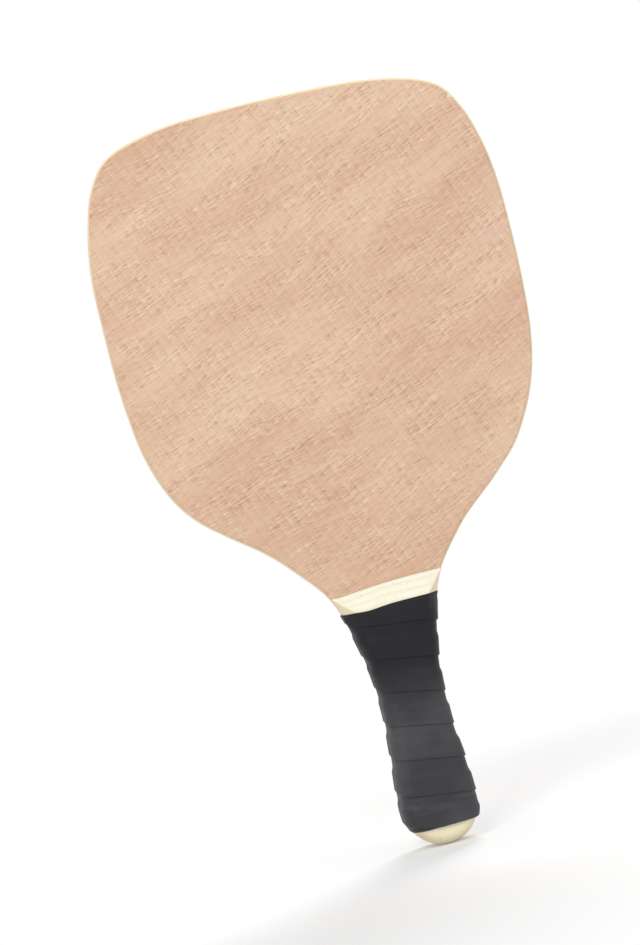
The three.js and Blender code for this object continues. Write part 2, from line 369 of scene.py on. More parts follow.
class Paint:
    """A material's nodes, with short calls for those that the wood and the tape share."""

    def __init__(self, name, **shader_values):
        self.material = bpy.data.materials.new(name)
        self.material.use_nodes = True
        self.tree = self.material.node_tree
        self.shader = self.tree.nodes["Principled BSDF"]
        for socket, value in shader_values.items():
            self.shader.inputs[socket.replace("_", " ")].default_value = value
        self.position = self.add("TexCoord").outputs["Object"]

    def add(self, kind, sockets=None, **settings):
        node = self.tree.nodes.new("ShaderNode" + kind)
        for setting, value in settings.items():
            setattr(node, setting, value)
        for socket, value in (sockets or {}).items():
            self.feed(node.inputs[socket], value)
        return node

    def feed(self, socket, value):
        if isinstance(value, bpy.types.NodeSocket):
            self.tree.links.new(value, socket)
        else:
            socket.default_value = value

    def mapped(self, vector, scale=(1, 1, 1), turned=(0, 0, 0), shift=(0, 0, 0)):
        turned = tuple(math.radians(angle) for angle in turned)
        sockets = {"Vector": vector, "Scale": scale, "Rotation": turned, "Location": shift}
        return self.add("Mapping", sockets).outputs["Vector"]

    def noise(self, vector, scale=1, detail=2, roughness=0.5):
        sockets = {"Vector": vector, "Scale": scale, "Detail": detail, "Roughness": roughness}
        return self.add("TexNoise", sockets).outputs["Fac"]

    def cells(self, vector, scale):
        return self.add("TexVoronoi", {"Vector": vector, "Scale": scale}).outputs["Distance"]

    def dashes(self, vector, length, width, shift):
        """Dashes of that size along x in the plane of x and z: how near a dash's middle a point is, and a
        random value for each dash."""
        along, _, across = self.split(vector)
        place = self.join(self.math("DIVIDE", along, length), self.math("DIVIDE", across, width), 0.0)
        sockets = {"Vector": self.mapped(place, shift=(shift, shift, 0)), "Scale": 1.0}
        node = self.add("TexVoronoi", sockets, voronoi_dimensions="2D")
        near = self.step(node.outputs["Distance"], DASH_EDGE, DASH_CORE)
        return near, self.split(node.outputs["Color"])[0]

    def math(self, operation, first, second=0.0):
        node = self.add("Math", operation=operation)
        self.feed(node.inputs[0], first)
        self.feed(node.inputs[1], second)
        return node.outputs[0]

    def step(self, value, low, high, to_low=0.0, to_high=1.0):
        sockets = {"Value": value, "From Min": low, "From Max": high, "To Min": to_low, "To Max": to_high}
        return self.add("MapRange", sockets, interpolation_type="SMOOTHSTEP").outputs["Result"]

    def mix(self, share, first, second):
        node = self.add("Mix", data_type="RGBA")
        self.feed(node.inputs["Factor"], share)
        self.feed(node.inputs[MIX_FIRST], first)
        self.feed(node.inputs[MIX_SECOND], second)
        return node.outputs[MIX_RESULT]

    def tint(self, base, value, low, high, share, levels):
        """The base with that share of a colour where a value is past high, and none where it's short of low."""
        return self.mix(self.step(value, low, high, 0, share), base, colour(levels))

    def split(self, vector):
        return self.add("SeparateXYZ", {"Vector": vector}).outputs

    def join(self, x, y, z):
        return self.add("CombineXYZ", {"X": x, "Y": y, "Z": z}).outputs["Vector"]

    def bump(self, height, distance, strength):
        sockets = {"Height": height, "Distance": distance, "Strength": strength}
        return self.add("Bump", sockets).outputs["Normal"]

    def finish(self, base, roughness, normal):
        self.feed(self.shader.inputs["Base Color"], base)
        self.feed(self.shader.inputs["Roughness"], roughness)
        self.feed(self.shader.inputs["Normal"], normal)
        return self.material


def colour(levels):
    """A colour that renders as these three levels of 0 to 255, by the sRGB curve."""
    def linear(level):
        share = level / 255
        return share / 12.92 if share <= 0.04045 else ((share + 0.055) / 1.055) ** 2.4
    return (*map(linear, levels), 1)


# The spans of a noise's values over which a tone and a roughness change
TONE_SPAN = (0.35, 0.68)
ROUGHNESS_SPAN = (0.3, 0.7)

# The wood's gloss and relief
WOOD_GLOSS = 0.3
WOOD_BUMP_STRENGTH = 0.6
FIBRE_DEPTH = 0.05 * MM
PORE_DEPTH = 0.025 * MM

# The veneer's grain sweeps and wavers: each noise's scale, and how far it bends the grain in metres
GRAIN_SWEEP = (5.5, 0.03)
GRAIN_WAVER = (38, 0.0022)

# The veneer's noises: their spots' length along the grain and width across it in millimetres, the noise's
# detail and roughness, and its shift
VENEER_NOISES = {
    "broad": (130, 34, 3, 0.5, 0),
    "mottle": (48, 10, 3, 0.55, 3),
    "blush": (60, 14, 2, 0.5, 6),
    "streak": (42, 1.5, 3, 0.6, 0),
    "cluster": (30, 10, 3, 0.6, 9),
    "fibre": (7, 0.16, 2, 0.5, 0),
}

# The veneer's two main tones, and its tints in the order in which they are laid on: the noise, where a tint
# starts and is full, its share and its colour
VENEER_BROAD = (0.36, 0.64, (221, 182, 153), (232, 199, 170))
VENEER_TINTS = (
    ("mottle", 0.5, 0.7, 0.36, (216, 171, 141)),
    ("mottle", 0.48, 0.3, 0.36, (232, 205, 171)),
    ("blush", 0.5, 0.66, 0.55, (228, 187, 165)),
    ("streak", 0.52, 0.74, 0.26, (203, 160, 130)),
    ("streak", 0.46, 0.28, 0.2, (243, 218, 193)),
)
VENEER_NECK_SHARE = 0.15
VENEER_NECK_TONE = (214, 172, 141)

# How thick the dashes stand, by the cluster noise
DASH_THICKNESS = (0.36, 0.64, 0.3, 0.95)

# The long and the short dashes: their length and width in millimetres and their shift, then for the pale flecks
# and for the dark pores among them the ends of the random value, the share and the colour
VENEER_DASHES = (
    (5.6, 0.6, 5, (0.45, 0.15, 0.5, (248, 228, 204)), (0.55, 0.85, 0.6, (176, 131, 102))),
    (2.8, 0.45, 7, (0.5, 0.2, 0.3, (246, 226, 203)), (0.5, 0.8, 0.4, (168, 122, 95))),
)

# The fibres' relief beside the pores', and how rough the veneer and its pores are
VENEER_FIBRE_RELIEF = 0.3
VENEER_ROUGHNESS = (0.48, 0.58)
PORE_ROUGHNESS = 0.2


def veneer_material(name, grain_angle, shift):
    """Reddish veneer: dark pores and light flecks side by side along a wavering grain, thick in some patches
    and thin in others, over faint pink and yellow mottling."""
    paint = Paint(name, Specular_IOR_Level=WOOD_GLOSS)
    turned = paint.mapped(paint.position, turned=(0, grain_angle, 0), shift=(shift, 0, shift))
    along, _, across = paint.split(turned)
    bent = across
    for scale, reach in (GRAIN_SWEEP, GRAIN_WAVER):
        bend = paint.noise(turned, scale=scale, detail=1)
        bent = paint.math("ADD", bent, paint.math("MULTIPLY", bend, reach))
    grain = paint.join(along, 0.0, bent)

    noises = {}
    for kind, (length, width, detail, roughness, offset) in VENEER_NOISES.items():
        scale = (1 / (length * MM), 1, 1 / (width * MM))
        place = paint.mapped(grain, scale=scale, shift=(offset, 0, offset))
        noises[kind] = paint.noise(place, detail=detail, roughness=roughness)

    low, high, dark, pale = VENEER_BROAD
    base = paint.mix(paint.step(noises["broad"], low, high), colour(dark), colour(pale))
    for kind, low, high, share, levels in VENEER_TINTS:
        base = paint.tint(base, noises[kind], low, high, share, levels)
    height = paint.split(paint.position)[2]
    base = paint.tint(base, height, TONE_TOP, neck_height, VENEER_NECK_SHARE, VENEER_NECK_TONE)

    thick = paint.step(noises["cluster"], *DASH_THICKNESS)
    pores = []
    for length, width, offset, *kinds in VENEER_DASHES:
        near, value = paint.dashes(grain, length * MM, width * MM, offset)
        near = paint.math("MULTIPLY", near, thick)
        for low, high, share, levels in kinds:
            dash = paint.math("MULTIPLY", near, paint.step(value, low, high))
            base = paint.mix(paint.math("MULTIPLY", dash, share), base, colour(levels))
        pores.append(dash)

    fibre = paint.math("MULTIPLY", noises["fibre"], VENEER_FIBRE_RELIEF)
    level = paint.math("SUBTRACT", fibre, paint.math("MAXIMUM", *pores))
    normal = paint.bump(level, PORE_DEPTH, WOOD_BUMP_STRENGTH)
    rough = paint.step(noises["streak"], *ROUGHNESS_SPAN, *VENEER_ROUGHNESS)
    rough = paint.math("ADD", rough, paint.math("MULTIPLY", pores[0], PORE_ROUGHNESS))
    return paint.finish(base, rough, normal)


# A ply's edge: the noises' scales and spans, the shares and colours of its end grain and its glue, how far from
# the glue the stain is full and has faded, and a depth that no point has, for a ply whose low side isn't glued.
# Here and below, a tint's three numbers are the values at which it starts and is full, and its share.
PLY_FIBRE_SCALE = (60, 2600, 60)
PLY_BLOTCH_SCALE = 55
PLY_BLOTCH_TINT = (0.4, 0.7, 0.3)
PLY_DOT_SCALE = 2600
PLY_DOT_SIZES = (0.22, 0.1)
PLY_ROUGHNESS = (0.55, 0.68)
END_GRAIN_TURN = (0.35, 0.95)
END_GRAIN_SHARE = 0.3
END_GRAIN_TONE = (228, 204, 166)
END_GRAIN_DOTS = (176, 140, 100)
GLUE_SHARE = 0.45
GLUE_TONE = (178, 138, 98)
GLUE_STAIN = (0.02 * MM, 0.1 * MM)
NO_GLUE = -1


def ply_edge_material(name, pale, tan, low, high, end_grain_axis):
    """A ply seen on its sanded edge: fibres along the ply, darker where the edge cuts across them, and stained
    by the glue at the depths low and high, which count from the racket's mid-plane."""
    paint = Paint(name, Specular_IOR_Level=WOOD_GLOSS)
    fibres = paint.noise(paint.mapped(paint.position, scale=PLY_FIBRE_SCALE), detail=3)
    blotch = paint.noise(paint.position, scale=PLY_BLOTCH_SCALE, detail=3)
    facing = paint.add("NewGeometry").outputs["Normal"]
    cut_across = paint.math("ABSOLUTE", paint.split(facing)[end_grain_axis])
    base = paint.mix(paint.step(fibres, *TONE_SPAN), colour(pale), colour(tan))
    base = paint.tint(base, blotch, *PLY_BLOTCH_TINT, tan)
    dots = paint.step(paint.cells(paint.position, PLY_DOT_SCALE), *PLY_DOT_SIZES)
    end_grain = paint.math("MULTIPLY", paint.step(cut_across, *END_GRAIN_TURN), END_GRAIN_SHARE)
    base = paint.mix(end_grain, base, colour(END_GRAIN_TONE))
    base = paint.mix(paint.math("MULTIPLY", dots, end_grain), base, colour(END_GRAIN_DOTS))
    depth = paint.math("ABSOLUTE", paint.split(paint.position)[1])
    full, faded = GLUE_STAIN
    near_low = paint.step(depth, low + full, low + faded, GLUE_SHARE, 0)
    near_high = paint.step(depth, high - faded, high - full, 0, GLUE_SHARE)
    base = paint.mix(paint.math("MAXIMUM", near_low, near_high), base, colour(GLUE_TONE))
    normal = paint.bump(fibres, FIBRE_DEPTH, WOOD_BUMP_STRENGTH)
    rough = paint.step(blotch, *ROUGHNESS_SPAN, *PLY_ROUGHNESS)
    return paint.finish(base, rough, normal)


# The scales' wood: its growth layers to the metre and how far they warp, the noises' scales, its colours and
# their shares, where in a layer the late wood rises and falls, its relief beside the fibres', and the roughness
LAYERS_PER_METRE = 300
LAYER_WARP = 1.6
LAYER_WARP_SCALE = (22, 22, 5)
SCALE_FIBRE_SCALE = (900, 900, 30)
SCALE_BLOTCH_SCALE = 70
SPECK_SCALE = 210
SPECK_SIZES = (0.08, 0.05)
SPECK_SHARE = 0.5
SPECK_TONE = (140, 110, 74)
SCALE_PALE = (253, 252, 233)
SCALE_CREAM = (250, 248, 223)
# Towards the butt the wood is painted lighter and warmer: partly its own warm cream, partly painted light that
# lifts the shade on the downward-facing butt
BUTT_WARMTH_AND_PAINTED_LIGHT_SHARE = 0.8
BUTT_WARMTH_AND_PAINTED_LIGHT = (255, 243, 206)
LATE_WOOD_RISE = (0.3, 0.85)
LATE_WOOD_FALL = (1, 0.9)
LATE_WOOD_SHARE = 0.28
LATE_WOOD_TONE = (240, 216, 180)
LATE_WOOD_RELIEF = 0.5
FIBRE_TINT = (0.45, 0.72, 0.2)
FIBRE_TONE = (222, 206, 172)
# A painted highlight: a whiter band along the scale's thin lip
LIP_HIGHLIGHT_SHARE = 0.6
LIP_HIGHLIGHT_TONE = (241, 239, 226)
# Painted shade: faces that turn sideways are tinted a darker peach-tan
SIDE_SHADE_TINT = (0.3, 0.7, 0.5)
SIDE_SHADE_TONE = (240, 210, 166)
SCALE_ROUGHNESS = (0.52, 0.64)


def scale_material(name, shift):
    """Pale softwood whose growth layers lie along the blade, so that the ramp and the butt cut across them."""
    paint = Paint(name, Specular_IOR_Level=WOOD_GLOSS)
    place = paint.mapped(paint.position, shift=(shift, shift, shift))
    warp = paint.noise(paint.mapped(place, scale=LAYER_WARP_SCALE), detail=2)
    layers = paint.math("MULTIPLY", paint.split(place)[1], LAYERS_PER_METRE)
    layers = paint.math("ADD", layers, paint.math("MULTIPLY", warp, LAYER_WARP))
    layer = paint.math("FRACT", layers)
    rise, fall = paint.step(layer, *LATE_WOOD_RISE), paint.step(layer, *LATE_WOOD_FALL)
    late = paint.math("MULTIPLY", rise, fall)
    fibres = paint.noise(paint.mapped(place, scale=SCALE_FIBRE_SCALE), detail=3)
    blotch = paint.noise(place, scale=SCALE_BLOTCH_SCALE, detail=3)
    base = paint.mix(paint.step(blotch, *TONE_SPAN), colour(SCALE_PALE), colour(SCALE_CREAM))
    _, depth, height = paint.split(paint.position)
    # Painted light: the butt's wood is lightened, as well as warmed, to lift the shade where it faces down
    base = paint.tint(base, height, tape_bottom + RIM_WIDTH, tape_bottom, BUTT_WARMTH_AND_PAINTED_LIGHT_SHARE, BUTT_WARMTH_AND_PAINTED_LIGHT)
    base = paint.mix(paint.math("MULTIPLY", late, LATE_WOOD_SHARE), base, colour(LATE_WOOD_TONE))
    base = paint.tint(base, fibres, *FIBRE_TINT, FIBRE_TONE)
    from_middle = paint.math("ABSOLUTE", depth)
    lip_depth = face_depth + SCALE_LIP
    # A painted highlight along the thin lip, whiter than the wood
    base = paint.tint(base, from_middle, lip_depth + LIP_HIGHLIGHT_REACH, lip_depth, LIP_HIGHLIGHT_SHARE, LIP_HIGHLIGHT_TONE)
    # Painted shade: faces that turn sideways are painted a darker peach-tan
    facing = paint.add("NewGeometry").outputs["Normal"]
    sideways = paint.math("ABSOLUTE", paint.split(facing)[0])
    base = paint.tint(base, sideways, *SIDE_SHADE_TINT, SIDE_SHADE_TONE)
    specks = paint.step(paint.cells(place, SPECK_SCALE), *SPECK_SIZES)
    base = paint.mix(paint.math("MULTIPLY", specks, SPECK_SHARE), base, colour(SPECK_TONE))
    relief = paint.math("ADD", fibres, paint.math("MULTIPLY", late, LATE_WOOD_RELIEF))
    normal = paint.bump(relief, FIBRE_DEPTH, WOOD_BUMP_STRENGTH)
    rough = paint.step(fibres, *ROUGHNESS_SPAN, *SCALE_ROUGHNESS)
    return paint.finish(base, rough, normal)


# The tape's gloss, its noises' scales, its colours and their shares, the heights over which its painted
# reflection fades so that it turns darker upwards, its relief, its roughness, and where and how far a rub makes
# it smoother
TAPE_GLOSS = 0.2
TAPE_SKIN_SCALE = 1500
TAPE_GRAIN_SCALE = 900
TAPE_CLOUD_SCALE = 32
TAPE_RUB_AND_SHEEN_SCALE = (40, 40, 220)
TAPE_DUST_SCALE = 330
TAPE_DARK = (60, 60, 64)
TAPE_GREY = (77, 77, 80)
# The lighter rubbed patches: partly wear, partly painted sheen
TAPE_RUB_AND_SHEEN_TINT = (0.5, 0.72, 0.4)
TAPE_RUBBED_AND_SHEEN = (80, 80, 84)
# Between these heights the painted reflection on the lower tape fades and it turns black
TAPE_PAINTED_REFLECTION_HEIGHTS = (76 * MM, 112 * MM)
TAPE_BLACK_SHARE = 0.9
TAPE_BLACK = (24, 24, 30)
TAPE_DUST_SIZES = (0.06, 0.04)
TAPE_DUST_SHARE = 0.3
TAPE_DUST = (140, 138, 136)
TAPE_SKIN_RELIEF = 0.7
TAPE_GRAIN_RELIEF = 0.5
TAPE_RELIEF_DEPTH = 0.05 * MM
TAPE_BUMP_STRENGTH = 0.5
TAPE_ROUGHNESS = (0.5, 0.62)
TAPE_RUB_SHEEN = (0.5, 0.8, 0, -0.1)


def tape_material():
    """Smooth black polyurethane tape: a fine embossed skin with a soft, uneven sheen that is partly painted
    into its colour, a painted reflection that lightens it lower down, and a little dust.
    """
    paint = Paint("tape_black", Specular_IOR_Level=TAPE_GLOSS)
    skin = paint.cells(paint.position, TAPE_SKIN_SCALE)
    grain = paint.noise(paint.position, scale=TAPE_GRAIN_SCALE, detail=3)
    cloud = paint.noise(paint.position, scale=TAPE_CLOUD_SCALE, detail=1)
    rub_and_sheen = paint.noise(paint.mapped(paint.position, scale=TAPE_RUB_AND_SHEEN_SCALE), detail=2)
    base = paint.mix(paint.step(cloud, *TONE_SPAN), colour(TAPE_DARK), colour(TAPE_GREY))
    # Rubbed patches painted lighter: partly wear, partly painted sheen
    base = paint.tint(base, rub_and_sheen, *TAPE_RUB_AND_SHEEN_TINT, TAPE_RUBBED_AND_SHEEN)
    # A painted reflection: the tape is lighter lower down and turns darker upwards between these heights
    height = paint.split(paint.position)[2]
    base = paint.tint(base, height, *TAPE_PAINTED_REFLECTION_HEIGHTS, TAPE_BLACK_SHARE, TAPE_BLACK)
    dust = paint.step(paint.cells(paint.position, TAPE_DUST_SCALE), *TAPE_DUST_SIZES)
    base = paint.mix(paint.math("MULTIPLY", dust, TAPE_DUST_SHARE), base, colour(TAPE_DUST))
    skin_relief = paint.math("MULTIPLY", skin, TAPE_SKIN_RELIEF)
    grain_relief = paint.math("MULTIPLY", grain, TAPE_GRAIN_RELIEF)
    relief = paint.math("ADD", skin_relief, grain_relief)
    normal = paint.bump(relief, TAPE_RELIEF_DEPTH, TAPE_BUMP_STRENGTH)
    cloudy = paint.step(cloud, *ROUGHNESS_SPAN, *TAPE_ROUGHNESS)
    rough = paint.math("ADD", cloudy, paint.step(rub_and_sheen, *TAPE_RUB_SHEEN))
    return paint.finish(base, rough, normal)


def chamfer_share(nicked):
    """How much of the chamfer each outline point has: none on the tang, a hand-sanded width on the blade, and
    for the nicked side a small nick near the upper right corner."""
    height = outline[:, 1]
    wander = ripple(outline, CHAMFER_WANDER_LENGTH, CHAMFER_WANDER_SEED)
    nick = nicked * NICK_SHARE * np.exp(-(np.linalg.norm(outline - NICK_PLACE, axis=1) / NICK_REACH) ** 2)
    top = CHAMFER_TOP_SHARE * np.maximum(outline_normal[:, 1], 0)
    right = CHAMFER_RIGHT_SHARE * np.maximum(outline_normal[:, 0], 0)
    wanted = 1 + CHAMFER_WANDER_SHARE * wander + top + right + nick
    return smooth_step(height, CHAMFER_START, CHAMFER_FULL) * wanted


def rim_inset(depth):
    """How far the blade's edge is cut back at a depth from the mid-plane, with a soft knee and a worn arris."""
    past_knee = depth - (face_depth - CHAMFER_DEPTH)
    sloped = (past_knee + math.hypot(past_knee, KNEE_SOFTNESS)) / 2
    into_arris = max(0, ARRIS_RADIUS - (face_depth - depth))
    worn = ARRIS_RADIUS - math.sqrt(ARRIS_RADIUS ** 2 - min(into_arris, ARRIS_RADIUS) ** 2)
    return sloped * CHAMFER_WIDTH / CHAMFER_DEPTH + worn


# A ply's rings: the share of its thickness with even ones, and how many there are in each part
PLY_EVEN_SHARE = 0.8
PLY_EVEN_RINGS = 7
PLY_CLOSE_RINGS = 8
CORE_RINGS = 6


def ply_depths(low, high):
    """Where a ply's rings lie, from its inner to its outer face, close together near the outer one."""
    even = np.linspace(0, PLY_EVEN_SHARE, PLY_EVEN_RINGS)[:-1]
    close = np.sin(np.linspace(0, math.pi / 2, PLY_CLOSE_RINGS))
    shares = np.concatenate([even, PLY_EVEN_SHARE + (1 - PLY_EVEN_SHARE) * close])
    return low + (high - low) * shares


def ply(name, node, material):
    """One ply: rings of the outline through its thickness and a flat face on either side."""
    near, far = sorted((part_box(node)[0][1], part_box(node)[1][1]), key=abs)
    facing = 1 if far > 0 else -1
    grow = (GLUE_LINE - PLY_GAP) / 2
    if node == "core_ply":
        depths = np.linspace(-abs(far) - grow, abs(far) + grow, CORE_RINGS)
    else:
        outermost = math.isclose(abs(far), face_depth, abs_tol=GLUE_LINE / 2)
        depths = ply_depths(abs(near) - grow, abs(far) + (0 if outermost else grow))
    share = chamfer_share(facing < 0)[:, None]
    rings = [outline - outline_normal * share * rim_inset(abs(depth)) for depth in depths]
    first = rings[0] - outline_normal * CAP_MARGIN
    last = rings[-1] - outline_normal * CAP_MARGIN
    rings = [first, *rings, last]
    depths = [depths[0], *depths, depths[-1]]
    count = len(outline)
    points = np.concatenate([
        np.stack([ring[:, 0], np.full(count, facing * depth), ring[:, 1]], axis=1)
        for ring, depth in zip(rings, depths)
    ])
    faces = ring_faces(len(rings), count)
    faces.append(tuple(range(count))[::-1])
    faces.append(tuple(range((len(rings) - 1) * count, len(rings) * count)))
    piece(name, points, faces, material, node)


def rim_shape(height, angle):
    """How far the rim has come in and out at an angle round it, as shares of its width and its depth."""
    facet = FACET_SHARE * smooth_step(height, FACET_START, FACET_FULL)
    straight = facet * (angle / (math.pi / 2))
    return (1 - facet) * (1 - np.cos(angle)) + straight, (1 - facet) * np.sin(angle) + straight


def ramp_depth(height):
    """The depth of the scale's sloped end at a height, with a small round at its thin lip."""
    top = tape_top + RAMP_TOP_MARGIN
    fall = (handle_depth - face_depth - SCALE_LIP) / (neck_height - top)
    into_lip = np.clip(height - (neck_height - LIP_RADIUS), 0, LIP_RADIUS)
    worn = LIP_RADIUS - np.sqrt(LIP_RADIUS ** 2 - into_lip ** 2)
    return handle_depth - (height - top) * fall - worn


# The rows of a scale, from its butt to its lip, and the columns of its flat
BUTT_HEIGHT = 24 * MM
BUTT_CROWDING = 1.6
RAMP_ROWS_MARGIN = 2 * MM
BUTT_ROWS = 60
SHAFT_ROWS = 60
RAMP_ROWS = 56
LIP_ROWS = 7
FLAT_COLUMNS = 24


def scale_heights():
    """The rows of a scale: close together at the butt and on the ramp, wide apart under the tape."""
    ramp_start = tape_top - RAMP_ROWS_MARGIN
    lip_start = neck_height - LIP_RADIUS
    butt = BUTT_HEIGHT * np.linspace(0, 1, BUTT_ROWS) ** BUTT_CROWDING
    shaft = np.linspace(BUTT_HEIGHT, ramp_start, SHAFT_ROWS)[1:]
    ramp = np.linspace(ramp_start, lip_start, RAMP_ROWS)[1:]
    lip = neck_height - LIP_RADIUS * (1 - np.sin(np.linspace(0, math.pi / 2, LIP_ROWS)[1:]))
    return np.concatenate([butt, shaft, ramp, lip])


def handle_scale(name, node, material):
    """One scale, row by row: a wall, a quarter-round rim, the flat, and the same again on the left."""
    heights = scale_heights()[:, None]
    facing = -1 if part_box(node)[0][1] < 0 else 1
    widest = np.arccos(1 - np.minimum(heights, RIM_WIDTH) / RIM_WIDTH)
    angles = widest * np.linspace(0, 1, RIM_STEPS + 1)
    in_share, out_share = rim_shape(heights, angles)
    inset = RIM_WIDTH * in_share
    rim_y = flat_depth + rim_depth * out_share
    middle = np.linspace(1, -1, FLAT_COLUMNS)[1:-1]

    def all_round(wall, rim):
        flat = np.repeat(rim[:, -1:], len(middle), axis=1)
        return np.concatenate([wall, rim, flat, rim[:, ::-1], wall], axis=1)

    inset = all_round(np.zeros_like(heights), inset)
    y = all_round(np.full_like(heights, face_depth + PLY_GAP), rim_y)
    side = np.concatenate([np.ones(RIM_STEPS + 2), middle, -np.ones(RIM_STEPS + 2)])[None, :]
    shaped = soft_minimum(y, np.broadcast_to(ramp_depth(heights), y.shape), RAMP_SOFTNESS)
    y = np.where(y > face_depth + GLUE_LINE, np.maximum(shaped, face_depth + GLUE_LINE), y)

    lip_x = side * half_width(neck_height, 0.0)
    end_fall = LIP_END_FALL * side ** 2
    moved = LIP_RISE - end_fall - facing * LIP_SLANT_SHARE * lip_x
    z = heights + moved * smooth_step(heights, tape_top - TAPE_END_WIDTH, neck_height - SCALE_LIP)
    x = side * half_width(z, -inset)
    points = np.stack([x, facing * y, z], axis=2).reshape(-1, 3)
    rows, columns = x.shape
    faces = ring_faces(rows, columns)
    faces.append(tuple(range((rows - 1) * columns, rows * columns)))
    piece(name, points, faces, material, node)


# The tape's stops on each corner, narrow side and broad face of the handle
CORNER_STOPS = 14
SIDE_STOPS = 6
FACE_STOPS = 18

# The tape's points across its width: on each round edge, from there to past the lap, and over the rest
EDGE_POINTS = 6
LAP_POINTS = 34
LAP_POINTS_REACH = 15 * MM
REST_POINTS = 20

# How the tape's creases lie: turned about y and stretched along the handle, and stronger where it flares
CREASE_TURN = np.array([[0.8, 0, 0.6], [0, 1, 0], [-0.6, 0, 0.8]])
CREASE_STRETCH = (1, 1, 0.35)
CREASE_LENGTH = 6 * MM
CREASE_SEED = 5
CREASE_LEAST_SHARE = 0.25
CREASE_DEEPEST = 0.12 * MM
FLARE_HEIGHTS = (0.09, 0.14)
WAVE_LENGTH = 14 * MM
WAVE_SEED = 8
SWELL_MARGIN = 0.8 * MM

# How the tape's edge wavers on its way round
WANDER_WAY_PER_TURN = 60 * MM
WANDER_LENGTH = 40 * MM
WANDER_SEED = 11
TAPE_SHARP_ANGLE = 50


def turn_stops():
    """Fine stops round the handle from its right front corner: how far each is on its way round the waist, its
    share of the half width and of the flat side, the face it bends towards, and its angle round the corner."""
    corner = (RIM_WIDTH + rim_depth) * math.pi / 4
    face = 2 * (WAIST_HALF_WIDTH - RIM_WIDTH)
    side = 2 * flat_depth
    stops = []
    travelled = 0
    for turn, (hand, facing) in enumerate(((1, 1), (-1, 1), (-1, -1), (1, -1))):
        for share in np.linspace(0, 1, CORNER_STOPS, endpoint=False):
            angle = share if turn % 2 == 0 else 1 - share
            stops.append((travelled + share * corner, hand, facing, facing, angle * math.pi / 2))
        travelled += corner
        flat, count = (side, SIDE_STOPS) if turn % 2 else (face, FACE_STOPS)
        for share in np.linspace(0, 1, count, endpoint=False):
            if turn % 2:
                stops.append((travelled + share * flat, hand, facing * (1 - 2 * share), facing, 0))
            else:
                stops.append((travelled + share * flat, hand * (1 - 2 * share), facing, facing, math.pi / 2))
        travelled += flat
    stops = np.array(stops)
    stops[:, 0] /= travelled
    return stops, corner / travelled


def tape_profile():
    """Shares of the tape's width from its lower edge, close together at its edges and over the lap."""
    round_edge = TAPE_EDGE_RADIUS * (1 - np.cos(np.linspace(0, math.pi / 2, EDGE_POINTS)))
    lap = np.linspace(TAPE_EDGE_RADIUS, LAP_POINTS_REACH, LAP_POINTS)[1:]
    rest = np.linspace(LAP_POINTS_REACH, TAPE_WIDTH - TAPE_EDGE_RADIUS, REST_POINTS)[1:]
    return np.concatenate([round_edge, lap, rest, (TAPE_WIDTH - round_edge)[::-1][1:]]) / TAPE_WIDTH


